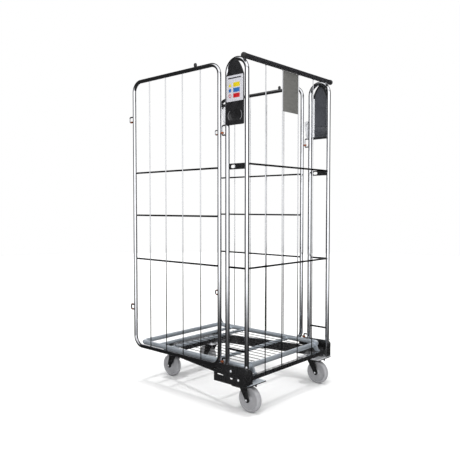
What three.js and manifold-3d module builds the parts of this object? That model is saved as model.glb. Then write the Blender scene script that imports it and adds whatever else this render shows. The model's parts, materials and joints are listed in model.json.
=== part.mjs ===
// Roll cage container: an A-frame chassis on four swivel castors, a folding deck, two arched
// end frames joined by a push bar and a rear grille, and two mesh gates hung on the arches.
// Millimetres, +Z up. X is the width, -Y is the end with the push bar, +Y is the open end.
// The origin is on the floor, under the middle of the bounding box.

import * as THREE from 'three';
import { mergeVertices } from 'three/addons/utils/BufferGeometryUtils.js';
import Module from 'manifold-3d';

const wasm = await Module();
wasm.setup();

// ---- driving dimensions ----
const GAP = 0.3;                 // clearance left between pieces that touch

const POST_X = 353;              // centre plane of each arched end frame
const POST_R = 11;
const REAR_Y = -412.5;           // rear post of an arch
const FRONT_Y = -291.5;          // front post of an arch
const ARCH_MID_Y = (REAR_Y + FRONT_Y) / 2;
const ARCH_BEND_R = (FRONT_Y - REAR_Y) / 2;
const ARCH_BEND_Z = 1615.5;      // where the straight posts end and the arch begins
const PLATE_TOP_Z = 145;         // upper face of the castor plates
const ARCH_ROD_Z = [304, 697];
const ARCH_ROD_R = 3.5;

const BAR_R = 12.5;              // push bar
const BAR_Z = 1677.5;
const BAR_END = 382.5;

const RAIL_ROD_Z = [697, 1186];  // cross rods of the rear grille
const RAIL_ROD_R = 4;
const WIRE_R = 2.5;
const REAR_WIRE_X = [-205, -68.5, 68.5, 205];
const REAR_WIRE_Y = REAR_Y + 6;

const BEAM_Z = [165, 186];       // rear crossbeam
const BEAM_HALF_Y = 10;

const GATE_X = 351;
const GATE_R = 10;
const GATE_HINGE_Y = -237.5;
const GATE_FREE_Y = 406.5;
const GATE_Z = [206, 1674];
const GATE_CORNER = 55;
const GATE_ROD_Z = [696, 939, 1174];
const GATE_ROD_R = 4;
const GATE_WIRES = 4;
const HINGE_Y = -257.5;          // vertical hinge line of the gates

const LOOP_R = 4;                // rod of the hinge staples and keepers
const LOOP_BEND = 7;
const STAPLE_Z = [[221, 249], [1328, 1374]];
const KEEPER_Z = [[406, 433], [1459, 1487]];
const KEEPER_Y = 446.3;

const DECK_X = 320;
const DECK_R = 12.5;
const DECK_Z = 220;
const DECK_Y = [-377.5, 387.5];
const DECK_CORNER = 32;
const DECK_BAR_Z = 213;
const DECK_BAR_R = 9;
const DECK_BAR_Y = [-162.5, 177.5, 277.5];
const DECK_WIRES = 13;
const DECK_WIRE_R = 1.6;
const DECK_PITCH = 44;
const SADDLE_X = 279;            // the saddles in which the rear tube of the deck turns
const SADDLE_HALF = 7;

const SIDE_RAIL_T = 20;          // A-frame rails: width, height, and how they converge
const SIDE_RAIL_Z = [PLATE_TOP_Z + GAP, 195];
const RAIL_REAR = [335.5, -400];
const RAIL_FRONT = [194.9, 350];

const WHEEL_R = 62.5;
const WHEEL_HALF = 16;
const CASTOR_TRAIL = 35;
const CASTOR_PLATE_Z = [140, PLATE_TOP_Z];
const FORK_TOP = CASTOR_PLATE_Z[0] - GAP;
const CASTORS = [
  { tag: 'rear_left', x: -297, y: -352.5, trail: -CASTOR_TRAIL },
  { tag: 'rear_right', x: 297, y: -352.5, trail: -CASTOR_TRAIL },
  { tag: 'front_left', x: -150, y: 290.5, trail: CASTOR_TRAIL },
  { tag: 'front_right', x: 150, y: 290.5, trail: CASTOR_TRAIL },
];

// ---- materials ----
const steel = (color, roughness, metalness) =>
  new THREE.MeshStandardMaterial({ color, roughness, metalness });
const CHROME = steel('#b9bcc0', 0.2, 1);
const GALVANISED = steel('#8b949c', 0.35, 1);
const BLACK_STEEL = steel('#161617', 0.45, 0.2);
const BLACK_PLASTIC = steel('#1a1a1b', 0.4, 0);
const GREY_PLATE = steel('#6d6d6a', 0.7, 0.1);
const SIGN_WHITE = steel('#dcdce0', 0.5, 0);
const NYLON = steel('#c9c9cd', 0.5, 0);
const ZINC = steel('#a5acb0', 0.35, 1);
const COPPER = steel('#b4582c', 0.4, 0.9);

// ---- solids ----
function toManifold(geometry) {
  const bare = geometry.clone();
  bare.deleteAttribute('normal');
  bare.deleteAttribute('uv');
  const merged = mergeVertices(bare, 1e-3);
  return new wasm.Manifold(new wasm.Mesh({
    numProp: 3,
    vertProperties: new Float32Array(merged.attributes.position.array),
    triVerts: new Uint32Array(merged.index.array),
  }));
}

function toGeometry(manifold) {
  const out = manifold.getMesh();
  const geometry = new THREE.BufferGeometry();
  geometry.setAttribute('position', new THREE.BufferAttribute(out.vertProperties, 3));
  geometry.setIndex(new THREE.BufferAttribute(out.triVerts, 1));
  return geometry;
}

function join(geometries) {
  return toGeometry(geometries.map(toManifold).reduce((sum, next) => sum.add(next)));
}

function cut(geometry, holes) {
  return toGeometry(holes.map(toManifold).reduce((rest, next) => rest.subtract(next),
    toManifold(geometry)));
}

function block(x, y, z) {
  const geometry = new THREE.BoxGeometry(x[1] - x[0], y[1] - y[0], z[1] - z[0]);
  return geometry.translate((x[0] + x[1]) / 2, (y[0] + y[1]) / 2, (z[0] + z[1]) / 2);
}

// A round bar from one point to another.
function bar(from, to, radius, sides = 10) {
  const a = new THREE.Vector3(...from);
  const b = new THREE.Vector3(...to);
  const geometry = new THREE.CylinderGeometry(radius, radius, a.distanceTo(b), sides);
  const turn = new THREE.Quaternion().setFromUnitVectors(
    new THREE.Vector3(0, 1, 0), b.clone().sub(a).normalize());
  return geometry.applyQuaternion(turn).translate(...a.add(b).multiplyScalar(0.5).toArray());
}

// A path of straight runs joined by circular bends; it has one section at each bend step.
class BentPath extends THREE.Curve {
  constructor(corners, bend, steps = 4) {
    super();
    this.points = [];
    this.tangents = [];
    const list = corners.map((corner) => new THREE.Vector3(...corner));
    this.push(list[0], list[1].clone().sub(list[0]));
    for (let i = 1; i < list.length - 1; i += 1) {
      this.turn(list[i - 1], list[i], list[i + 1], bend, steps);
    }
    const end = list[list.length - 1];
    this.push(end, end.clone().sub(list[list.length - 2]));
    this.sections = this.points.length - 1;
  }

  push(point, tangent) {
    this.points.push(point.clone());
    this.tangents.push(tangent.clone().normalize());
  }

  turn(before, corner, after, bend, steps) {
    const d0 = corner.clone().sub(before).normalize();
    const d1 = after.clone().sub(corner).normalize();
    const half = d0.angleTo(d1) / 2;
    const start = corner.clone().addScaledVector(d0, -bend * Math.tan(half));
    const inward = d1.clone().addScaledVector(d0, -d0.dot(d1)).normalize();
    for (let s = 0; s <= steps; s += 1) {
      const angle = (2 * half * s) / steps;
      const point = start.clone()
        .addScaledVector(d0, bend * Math.sin(angle))
        .addScaledVector(inward, bend * (1 - Math.cos(angle)));
      this.push(point, d0.clone().multiplyScalar(Math.cos(angle))
        .addScaledVector(inward, Math.sin(angle)));
    }
  }

  at(list, u, target) {
    const place = u * this.sections;
    const i = Math.min(Math.floor(place), this.sections - 1);
    return target.lerpVectors(list[i], list[i + 1], place - i);
  }

  getPoint(t, target = new THREE.Vector3()) {
    return this.at(this.points, t, target);
  }

  getPointAt(u, target = new THREE.Vector3()) {
    return this.at(this.points, u, target);
  }

  getTangentAt(u, target = new THREE.Vector3()) {
    return this.at(this.tangents, u, target).normalize();
  }
}

function bentTube(corners, bend, radius, sides = 10, steps = 4) {
  const path = new BentPath(corners, bend, steps);
  const section = new THREE.Shape();
  for (let i = 0; i < sides; i += 1) {
    const angle = (2 * Math.PI * (i + 0.5)) / sides;
    const x = radius * Math.cos(angle);
    const y = radius * Math.sin(angle);
    if (i === 0) section.moveTo(x, y);
    else section.lineTo(x, y);
  }
  section.closePath();
  return new THREE.ExtrudeGeometry(section, { steps: path.sections, extrudePath: path });
}

// A closed rectangular loop of tube, made as two C-shaped halves that lap by a millimetre.
// place turns a pair of in-plane coordinates into a point.
function tubeLoop(u, v, bend, radius, place, sides) {
  const mid = (u[0] + u[1]) / 2;
  const half = (edge, lap) => bentTube([
    place(mid + lap, v[0]), place(edge, v[0]), place(edge, v[1]), place(mid + lap, v[1]),
  ], bend, radius, sides);
  return [half(u[0], 0.5), half(u[1], -0.5)];
}

// An outline in the Y-Z plane, given thickness along X.
function plateYZ(outline, x, holes = []) {
  const shape = new THREE.Shape(outline.map(([y, z]) => new THREE.Vector2(y, z)));
  holes.forEach((hole) => {
    shape.holes.push(new THREE.Path(hole.map(([y, z]) => new THREE.Vector2(y, z))));
  });
  const geometry = new THREE.ExtrudeGeometry(shape, { depth: x[1] - x[0], bevelEnabled: false });
  const frame = new THREE.Matrix4().makeBasis(
    new THREE.Vector3(0, 1, 0), new THREE.Vector3(0, 0, 1), new THREE.Vector3(1, 0, 0));
  return geometry.applyMatrix4(frame).translate(x[0], 0, 0);
}

// An oval or slot outline: centre, full size, number of sides.
function oval(cy, cz, width, height, sides = 16) {
  const r = Math.min(width, height) / 2;
  const points = [];
  for (let i = 0; i < sides; i += 1) {
    const angle = (2 * Math.PI * (i + 0.5)) / sides;
    const c = Math.cos(angle);
    const s = Math.sin(angle);
    points.push([cy + Math.sign(c) * (width / 2 - r) + r * c,
      cz + Math.sign(s) * (height / 2 - r) + r * s]);
  }
  return points;
}

// A turned solid about the X axis: pairs of distance along the axis and radius.
function turnedX(profile, segments) {
  const geometry = new THREE.LatheGeometry(
    profile.map(([along, r]) => new THREE.Vector2(r, along)), segments);
  return geometry.rotateZ(-Math.PI / 2);
}

// ---- the assembly ----
const cage = new THREE.Group();

function add(name, geometry, material) {
  const mesh = new THREE.Mesh(geometry, material);
  mesh.name = name;
  cage.add(mesh);
  return mesh;
}

const SIDES = [['left', -1], ['right', 1]];
const span = (side, a, b) => (side < 0 ? [-b, -a] : [a, b]);

// Arched end frame: one tube bent over the top, standing on the castor plate, with two
// short rods welded between its posts.
function arch(side) {
  const x = side * POST_X;
  const foot = PLATE_TOP_Z + GAP;
  const top = ARCH_BEND_Z + ARCH_BEND_R;
  const tube = bentTube(
    [[x, REAR_Y, foot], [x, REAR_Y, top], [x, FRONT_Y, top], [x, FRONT_Y, foot]],
    ARCH_BEND_R - 0.01, POST_R, 12, 6);
  const rods = ARCH_ROD_Z.map((z) => bar([x, REAR_Y + 5, z], [x, FRONT_Y - 5, z], ARCH_ROD_R, 8));
  return join([tube, ...rods]);
}

// Flat tie bar between the posts of an arch, with an oblong hole near the front post.
function slotPlate(side) {
  const reach = POST_R + GAP;
  const y = [REAR_Y + reach, FRONT_Y - reach];
  const z = [1162, 1190];
  const x = side * POST_X;
  const hole = oval(y[1] - 25, 1176, 29, 16, 12);
  return plateYZ([[y[0], z[0]], [y[1], z[0]], [y[1], z[1]], [y[0], z[1]]], [x - 2, x + 2], [hole]);
}

// Moulded panel on the outer side of an arch, with a shallow hand grip near its foot.
const PANEL_X = [POST_X + POST_R + GAP, POST_X + POST_R + GAP + 4];
const PANEL_Y = [-406, -297];
const PANEL_Z = [1368, 1597];      // foot and top of the straight sides
const PANEL_CROWN = 1670.5;        // height of the pointed crown
function archPanel(side) {
  const mid = (PANEL_Y[0] + PANEL_Y[1]) / 2;
  const r = (PANEL_Y[1] - PANEL_Y[0]) / 2;
  const outline = [];
  for (let i = 0; i <= 14; i += 1) {
    const angle = (Math.PI * i) / 14;
    const share = Math.cos(angle);
    outline.push([mid + r * share, PANEL_CROWN - (PANEL_CROWN - PANEL_Z[1]) * share ** 2]);
  }
  outline.push([PANEL_Y[0], PANEL_Z[0] + 6], [PANEL_Y[0] + 6, PANEL_Z[0]]);
  outline.push([PANEL_Y[1] - 6, PANEL_Z[0]], [PANEL_Y[1], PANEL_Z[0] + 6]);
  const plate = plateYZ(outline, span(side, ...PANEL_X));
  const recess = plateYZ(oval(mid, 1407, 84, 50, 16), span(side, PANEL_X[1] - 2, PANEL_X[1] + 1));
  return cut(plate, [recess]);
}

const SIGN_X = [PANEL_X[1] + GAP, PANEL_X[1] + GAP + 1.5];
const signBoard = () => block(span(-1, ...SIGN_X), [-403, -300], [1477, 1597]);

// Corner plate: an outer leaf beside the posts and a flange behind the rear post.
const LEAF_X = [POST_X + POST_R + GAP, POST_X + POST_R + GAP + 3];
const LEAF_REAR = -427;
const LEAF_FRONT = -214;
function cornerPlate(side) {
  const outline = [
    [LEAF_REAR, 148], [LEAF_REAR + 14, 131], [-332, 131], [-326, 135], [LEAF_FRONT, 135],
    [LEAF_FRONT, 192], [-233, 192], [-242, 226], [LEAF_REAR + 14, 231], [LEAF_REAR, 219],
  ];
  const holes = [
    oval(-324.5, 200, 11, 11, 8), oval(-328, 168, 18, 15, 10), oval(-372.5, 165.5, 11, 11, 8),
    oval(-257, 172, 40, 6, 10), oval(-251, 202, 22, 5, 10),
  ];
  const leaf = plateYZ(outline, span(side, ...LEAF_X), holes);
  const flange = new THREE.Shape([
    new THREE.Vector2(LEAF_X[1], 148), new THREE.Vector2(LEAF_X[1], 219),
    new THREE.Vector2(356, 229), new THREE.Vector2(334, 214), new THREE.Vector2(325, 204),
    new THREE.Vector2(325, 148),
  ].map((p) => new THREE.Vector2(side * p.x, p.y)));
  const sheet = new THREE.ExtrudeGeometry(flange, { depth: 3, bevelEnabled: false });
  sheet.rotateX(Math.PI / 2).translate(0, LEAF_REAR + 3, 0);
  return join([leaf, sheet]);
}

// Horizontal plate that carries a rear castor, with a small tooth under its rear edge.
function rearCastorPlate(side) {
  const z = CASTOR_PLATE_Z;
  const plate = block(span(side, 228, 364), [-431, -296], z);
  const tooth = plateYZ([[-431, z[0] + 1], [-431, z[0] - 9], [-425, z[0] - 9], [-419, z[0] + 1]],
    span(side, 300, 304));
  return join([plate, tooth]);
}

function frontCastorPlate(side) {
  return block(span(side, 98, 212), [238, 343], CASTOR_PLATE_Z);
}

// A-frame rail: a tall bar that runs from beside the rear post towards the middle at the front.
function sideRail(side) {
  const [x0, y0] = RAIL_REAR;
  const [x1, y1] = RAIL_FRONT;
  const shape = new THREE.Shape([
    new THREE.Vector2(side * x0, y0), new THREE.Vector2(side * x1, y1),
    new THREE.Vector2(side * (x1 - SIDE_RAIL_T), y1),
    new THREE.Vector2(side * (x0 - SIDE_RAIL_T), y0),
  ]);
  const depth = SIDE_RAIL_Z[1] - SIDE_RAIL_Z[0];
  const rail = new THREE.ExtrudeGeometry(shape, { depth, bevelEnabled: false });
  return rail.translate(0, 0, SIDE_RAIL_Z[0]);
}

const railInner = (y) => RAIL_REAR[0] - SIDE_RAIL_T
  + ((RAIL_FRONT[0] - RAIL_REAR[0]) * (y - RAIL_REAR[1])) / (RAIL_FRONT[1] - RAIL_REAR[1]);

// The cross member between the two side rails, its ends cut to their slant.
function crossMember(y, z) {
  const near = railInner(y[0]) - 0.5;
  const far = railInner(y[1]) - 0.5;
  const shape = new THREE.Shape([
    new THREE.Vector2(-near, y[0]), new THREE.Vector2(near, y[0]),
    new THREE.Vector2(far, y[1]), new THREE.Vector2(-far, y[1]),
  ]);
  const geometry = new THREE.ExtrudeGeometry(shape, { depth: z[1] - z[0], bevelEnabled: false });
  return geometry.translate(0, 0, z[0]);
}

function rearGrille() {
  const reach = POST_X - POST_R - GAP;
  const rods = RAIL_ROD_Z.map((z) =>
    bar([-reach, REAR_Y, z], [reach, REAR_Y, z], RAIL_ROD_R, 8));
  const wires = REAR_WIRE_X.map((x) =>
    bar([x, REAR_WIRE_Y, BEAM_Z[1] + GAP], [x, REAR_WIRE_Y, BAR_Z - BAR_R - GAP], WIRE_R, 6));
  return join([...rods, ...wires]);
}

const BAR_Y = ARCH_MID_Y - Math.sqrt((ARCH_BEND_R + POST_R + BAR_R + GAP) ** 2
  - (BAR_Z - ARCH_BEND_Z) ** 2);

// Push bar: a sleeved tube with rounded ends, lying across the rear shoulders of the arches.
function pushBar() {
  const end = [[370, BAR_R], [377, 10.4], [381, 6], [BAR_END, 0]];
  const start = end.map(([along, r]) => [-along, r]).reverse();
  return turnedX([...start, ...end], 14).translate(0, BAR_Y, BAR_Z);
}

// U-shaped loop of rod standing off a post, in the plane of the gate.
function rodLoop(x, from, to, z) {
  return bentTube([[x, from, z[0]], [x, to, z[0]], [x, to, z[1]], [x, from, z[1]]],
    LOOP_BEND, LOOP_R, 8, 3);
}

// Mesh gate: a bent tube loop with upright wires and three cross rods, all welded.
function gate(side) {
  const x = side * GATE_X;
  const loop = tubeLoop([GATE_HINGE_Y, GATE_FREE_Y], GATE_Z, GATE_CORNER, GATE_R,
    (y, z) => [x, y, z], 10);
  const rodX = side * (GATE_X - WIRE_R - GATE_ROD_R + 1);
  const rods = GATE_ROD_Z.map((z) =>
    bar([rodX, GATE_HINGE_Y + 4, z], [rodX, GATE_FREE_Y - 4, z], GATE_ROD_R, 8));
  const pitch = (GATE_FREE_Y - GATE_HINGE_Y) / (GATE_WIRES + 1);
  const wires = [];
  for (let i = 1; i <= GATE_WIRES; i += 1) {
    const y = GATE_HINGE_Y + i * pitch;
    wires.push(bar([x, y, GATE_Z[0] + 3], [x, y, GATE_Z[1] - 3], WIRE_R, 6));
  }
  return join([...loop, ...rods, ...wires]);
}

// Eye of a gate hinge: a bush round the staple's upright and a lug that reaches the gate.
function gateEye(side, z, reach) {
  const x = side * POST_X;
  const ring = new THREE.Shape(oval(0, 0, 16, 16, 12).map(([a, b]) => new THREE.Vector2(a, b)));
  ring.holes.push(new THREE.Path(
    oval(0, 0, 9.4, 9.4, 12).map(([a, b]) => new THREE.Vector2(a, b))));
  const bush = new THREE.ExtrudeGeometry(ring, { depth: z[1] - z[0], bevelEnabled: false });
  bush.translate(x, HINGE_Y, z[0]);
  const lug = block([x - 4, x + 4], [HINGE_Y + 6, reach], [z[0] + 1, z[1] - 1]);
  return join([bush, lug]);
}

function gatePeg(side) {
  const peg = new THREE.LatheGeometry([
    [0, GATE_Z[1] + GATE_R + GAP], [8, GATE_Z[1] + GATE_R + GAP], [8, 1697], [5.5, 1701.5],
    [0, 1703],
  ].map(([r, z]) => new THREE.Vector2(r, z)), 12);
  return peg.rotateX(Math.PI / 2).translate(side * GATE_X, -74.5, 0);
}

// Drop bolt beside the upper staple: guide on the post, flat bolt with a wide head, black hook.
const BOLT_Y = [-278.5, -266.5];
const BOLT_Z = [1378.5, 1462];
const BOLT_HEAD_Y = -254;
function boltGuide(side) {
  const x = side * POST_X;
  const body = block([x - 5, x + 5], [-280.2, BOLT_Y[1] + 3], [1392, 1410]);
  const slot = block([x - 2.4, x + 2.4], [BOLT_Y[0] - 0.4, BOLT_Y[1] + 0.4], [1380, 1420]);
  return cut(body, [slot]);
}

function bolt(side) {
  const x = side * POST_X;
  const outline = [
    [BOLT_Y[0], BOLT_Z[0]], [BOLT_Y[1], BOLT_Z[0]], [BOLT_Y[1], 1412], [-257, 1424],
    [BOLT_HEAD_Y, BOLT_Z[1]], [BOLT_Y[0], BOLT_Z[1]],
  ];
  return plateYZ(outline, [x - 2, x + 2]);
}

function boltHook(side) {
  const x = side * POST_X;
  const outline = [
    [-278.5, 1462.3], [-270, 1459], [-264.5, 1450], [-260.5, 1450], [-260, 1461],
    [-255, 1466], [-256.5, 1470], [-268, 1475.5], [-278.5, 1473],
  ];
  const body = plateYZ(outline, [x - 4.5, x + 4.5]);
  return cut(body, [block([x - 2.3, x + 2.3], [-280, -250], [1440, 1462.3])]);
}

// Deck: a tube loop, three cross bars and lengthwise wires welded on top of the bars.
function deck() {
  const loop = tubeLoop([-DECK_X, DECK_X], DECK_Y, DECK_CORNER, DECK_R,
    (x, y) => [x, y, DECK_Z], 12);
  const bars = DECK_BAR_Y.map((y) =>
    bar([-DECK_X + 5, y, DECK_BAR_Z], [DECK_X - 5, y, DECK_BAR_Z], DECK_BAR_R, 10));
  const wires = [];
  for (let i = 0; i < DECK_WIRES; i += 1) {
    const x = (i - (DECK_WIRES - 1) / 2) * DECK_PITCH;
    const z = DECK_BAR_Z + DECK_BAR_R + DECK_WIRE_R - 0.8;
    wires.push(bar([x, DECK_Y[0] + 5, z], [x, DECK_BAR_Y[1] + 4, z], DECK_WIRE_R, 6));
  }
  return join([...loop, ...bars, ...wires]);
}

// Saddle on the rear crossbeam: an open eye in which the rear tube of the deck turns.
function deckSaddle(x) {
  const wide = [x - SADDLE_HALF, x + SADDLE_HALF];
  const ring = new THREE.Shape(oval(0, 0, 34, 34, 14).map(([a, b]) => new THREE.Vector2(a, b)));
  ring.holes.push(new THREE.Path(
    oval(0, 0, 27.4, 27.4, 14).map(([a, b]) => new THREE.Vector2(a, b))));
  const eye = new THREE.ExtrudeGeometry(ring, { depth: 2 * SADDLE_HALF, bevelEnabled: false });
  eye.rotateX(Math.PI / 2).rotateZ(Math.PI / 2).translate(wide[0], DECK_Y[0], DECK_Z);
  const foot = block(wide, [-410, -384], [BEAM_Z[1] + GAP, BEAM_Z[1] + 5]);
  const web = plateYZ([[-401, BEAM_Z[1] + 2], [-384, BEAM_Z[1] + 2], [-370, 206], [-393, 213]],
    wide);
  const clearance = bar([wide[0] - 1, DECK_Y[0], DECK_Z], [wide[1] + 1, DECK_Y[0], DECK_Z],
    13.6, 14);
  return cut(join([eye, foot, web]), [clearance]);
}

// Rubber rest on a side rail, under the foremost cross bar of the deck.
function deckBuffer(side) {
  const z = [SIDE_RAIL_Z[1] + GAP, DECK_BAR_Z - DECK_BAR_R - GAP];
  return block(span(side, 190, 206), [DECK_BAR_Y[2] - 12, DECK_BAR_Y[2] + 12], z);
}

// Castor fork: bearing head, crown and two tapering legs with holes for the axle.
function fork(castor) {
  const head = new THREE.CylinderGeometry(25, 25, 8, 16).rotateX(Math.PI / 2);
  head.translate(castor.x, castor.y, FORK_TOP - 4);
  const back = castor.y - Math.sign(castor.trail) * 22;
  const reach = castor.y + castor.trail;
  const far = reach - Math.sign(castor.trail) * 2;
  const crownY = [Math.min(back, far), Math.max(back, far)];
  const crown = block([castor.x - 24, castor.x + 24], crownY, [127.5, 133]);
  const outline = [[back, 133], [far, 133]];
  for (let i = 0; i <= 6; i += 1) {
    const angle = (Math.PI * i) / 6;
    outline.push([reach + Math.sign(castor.trail) * 14 * Math.cos(angle),
      WHEEL_R - 14 * Math.sin(angle)]);
  }
  const legs = [-22.5, 22.5].map((offset) => plateYZ(outline,
    [castor.x + offset - 1.75, castor.x + offset + 1.75]));
  const axle = bar([castor.x - 30, reach, WHEEL_R], [castor.x + 30, reach, WHEEL_R], 5.6, 12);
  return cut(join([head, crown, ...legs]), [axle]);
}

function axle(castor) {
  const half = 24.25 + GAP;
  return turnedX([
    [-half - 5, 0], [-half - 5, 8], [-half, 9], [-half, 5],
    [half, 5], [half, 9], [half + 5, 8], [half + 5, 0],
  ], 10).translate(castor.x, castor.y + castor.trail, WHEEL_R);
}

function wheel(castor) {
  return turnedX([
    [-19, 5.4], [-19, 13], [-10, 18], [-10, 44], [-WHEEL_HALF, 50], [-WHEEL_HALF, 57],
    [-8, WHEEL_R], [8, WHEEL_R], [WHEEL_HALF, 57], [WHEEL_HALF, 50], [10, 44], [10, 18],
    [19, 13], [19, 5.4], [-19, 5.4],
  ], 24).translate(castor.x, castor.y + castor.trail, WHEEL_R);
}

for (const [tag, side] of SIDES) {
  add(`arch_${tag}`, arch(side), CHROME);
  add(`slot_plate_${tag}`, slotPlate(side), BLACK_STEEL);
  add(`arch_panel_${tag}`, archPanel(side), BLACK_PLASTIC);
  add(`corner_plate_${tag}`, cornerPlate(side), BLACK_STEEL);
  add(`castor_plate_rear_${tag}`, rearCastorPlate(side), ZINC);
  add(`castor_plate_front_${tag}`, frontCastorPlate(side), ZINC);
  add(`side_rail_${tag}`, sideRail(side), BLACK_STEEL);
  add(`gate_${tag}`, gate(side), CHROME);
  add(`gate_peg_${tag}`, gatePeg(side), BLACK_PLASTIC);
  add(`bolt_guide_${tag}`, boltGuide(side), ZINC);
  add(`drop_bolt_${tag}`, bolt(side), CHROME);
  add(`bolt_hook_${tag}`, boltHook(side), BLACK_PLASTIC);
  add(`deck_saddle_${tag}`, deckSaddle(side * SADDLE_X), GALVANISED);
  add(`deck_buffer_${tag}`, deckBuffer(side), BLACK_PLASTIC);
  ['lower', 'upper'].forEach((level, i) => {
    add(`hinge_staple_${level}_${tag}`,
      rodLoop(side * POST_X, FRONT_Y + POST_R + GAP, HINGE_Y, STAPLE_Z[i]), ZINC);
    add(`gate_keeper_${level}_${tag}`,
      rodLoop(side * GATE_X, GATE_FREE_Y + GATE_R + GAP, KEEPER_Y, KEEPER_Z[i]), ZINC);
    const z = STAPLE_Z[i][0] + LOOP_BEND;
    add(`gate_eye_${level}_${tag}`, gateEye(side, [z, z + 9], i ? -247.9 : -244), COPPER);
  });
}

add('rear_crossbeam', block([-341.7, 341.7], [REAR_Y - BEAM_HALF_Y, REAR_Y + BEAM_HALF_Y], BEAM_Z),
  BLACK_STEEL);
add('front_crossmember', crossMember([262, 330], [150, 190]), BLACK_STEEL);
add('rear_grille', rearGrille(), CHROME);
add('deck', deck(), GALVANISED);
add('push_bar', pushBar(), BLACK_PLASTIC);
add('label_plate', block([-65.6, 65.6], [REAR_WIRE_Y - 1.25, REAR_WIRE_Y + 1.25],
  [1463, BAR_Z - BAR_R - GAP]), GREY_PLATE);
add('sign_board', signBoard(), SIGN_WHITE);

for (const castor of CASTORS) {
  add(`fork_${castor.tag}`, fork(castor), BLACK_STEEL);
  add(`axle_${castor.tag}`, axle(castor), ZINC);
  add(`wheel_${castor.tag}`, wheel(castor), NYLON);
}

export default cage;
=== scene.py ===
"""Roll cage container: the finished look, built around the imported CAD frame.

Metres, +Z up. -Y is the end with the push bar, +Y is the open loading end.
"""
import json
import math

import bmesh
import bpy
from mathutils import Matrix, Vector


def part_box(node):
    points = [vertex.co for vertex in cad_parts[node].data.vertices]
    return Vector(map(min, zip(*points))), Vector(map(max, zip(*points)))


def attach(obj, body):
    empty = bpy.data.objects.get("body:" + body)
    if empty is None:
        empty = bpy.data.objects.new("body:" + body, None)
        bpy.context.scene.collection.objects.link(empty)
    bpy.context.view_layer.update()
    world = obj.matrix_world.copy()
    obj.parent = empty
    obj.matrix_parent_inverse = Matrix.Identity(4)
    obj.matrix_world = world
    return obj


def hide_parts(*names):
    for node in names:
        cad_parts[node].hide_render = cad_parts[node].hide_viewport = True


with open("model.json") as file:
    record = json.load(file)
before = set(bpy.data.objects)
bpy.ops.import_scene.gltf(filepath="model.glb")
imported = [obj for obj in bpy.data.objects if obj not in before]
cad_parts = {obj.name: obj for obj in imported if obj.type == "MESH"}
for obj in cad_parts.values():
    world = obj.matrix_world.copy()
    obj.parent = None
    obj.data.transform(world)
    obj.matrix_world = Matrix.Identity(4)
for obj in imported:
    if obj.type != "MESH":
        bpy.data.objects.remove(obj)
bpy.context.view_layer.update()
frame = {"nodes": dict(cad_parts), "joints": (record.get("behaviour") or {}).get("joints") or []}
nodes = frame["nodes"]
MM = 0.001

SIDES = (("left", -1), ("right", 1))
LEVELS = ("lower", "upper")
CASTORS = ("rear_left", "rear_right", "front_left", "front_right")


# -------- places taken from the frame, and named sizes
def middle(node):
    low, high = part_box(node)
    return (low + high) / 2


def joint_place(name):
    for joint in frame["joints"]:
        if joint["name"] == name:
            return Vector(joint["pos_m"])
    raise ValueError(name)


POST_R = 11 * MM
ARCH_LOW, ARCH_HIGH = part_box("arch_right")
ARCH_FLAT = POST_R * math.cos(math.pi / 12)  # half width of the twelve-sided CAD tube
ARCH_X = middle("arch_right").x
REAR_Y = ARCH_LOW.y + ARCH_FLAT
FRONT_Y = ARCH_HIGH.y - ARCH_FLAT
ARCH_MID_Y = (REAR_Y + FRONT_Y) / 2
ARCH_TOP = ARCH_HIGH.z - ARCH_FLAT
ARCH_FOOT = ARCH_LOW.z
ARCH_BEND = (FRONT_Y - REAR_Y) / 2
ARCH_RODS = (0.304, 0.697)
ARCH_ROD_R = 4.8 * MM  # thicker than in CAD, for a darker look
PANEL_RISE = 73.5 * MM  # straight sides of an arch panel to its crown
GRIP = (84 * MM, 50 * MM, 1.412)  # width, height and height above the floor
# Millimetres that each ring of the hand grip lies inside its edge, and its depth.
GRIP_RINGS = ((0, 0), (2.0, 0.2), (5.0, 1.4), (8.0, 3.4), (10.5, 5.2), (14, 6.0))
PUSH_BAR_R = 12.5 * MM

GATE_R = 10 * MM
GATE_LOW, GATE_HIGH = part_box("gate_right")
GATE_FLAT = GATE_R * math.cos(math.pi / 10)
GATE_X = joint_place("gate_right_swing").x - 2 * MM
GATE_Y = (GATE_LOW.y + GATE_FLAT, GATE_HIGH.y - GATE_FLAT)
GATE_Z = (GATE_LOW.z + GATE_FLAT, GATE_HIGH.z - GATE_FLAT)
GATE_RODS = (0.696, 0.939, 1.174)
GATE_WIRES = 4
GATE_BEND = 55 * MM
CROSS_ROD_R = 4.6 * MM  # across gates and rear grille, also thicker than in CAD
LOOP_FLAT = 4 * MM * math.cos(math.pi / 8)  # half width of the eight-sided CAD rod
LOOP_BEND = 7 * MM
EYE_R = 8 * MM
EYE_BORE = 4.7 * MM
REAR_RODS = (0.697, 1.186)
REAR_WIRES = (-0.205, -0.0685, 0.0685, 0.205)

DECK_R = 12.5 * MM
DECK_FLAT = DECK_R * math.cos(math.pi / 12)
DECK_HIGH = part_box("deck")[1]
DECK_AXIS = joint_place("deck_fold")
DECK_X = DECK_HIGH.x - DECK_FLAT
DECK_Y = (DECK_AXIS.y, DECK_HIGH.y - DECK_FLAT)
DECK_Z = DECK_AXIS.z
DECK_BARS_Y = (-0.1625, 0.1775, 0.2775)
DECK_BAR_Z = 0.213
DECK_BAR_R = 9 * MM
DECK_BEND = 32 * MM
DECK_WIRES = 13
DECK_PITCH = 44  # millimetres between two wires
WIRE_R = 2.5 * MM
DECK_WIRE_R = 1.6 * MM

CORNER_THICK = 3 * MM
CORNER_Z = (0.148, 0.219)  # foot and shoulder, at the rear edge
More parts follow.
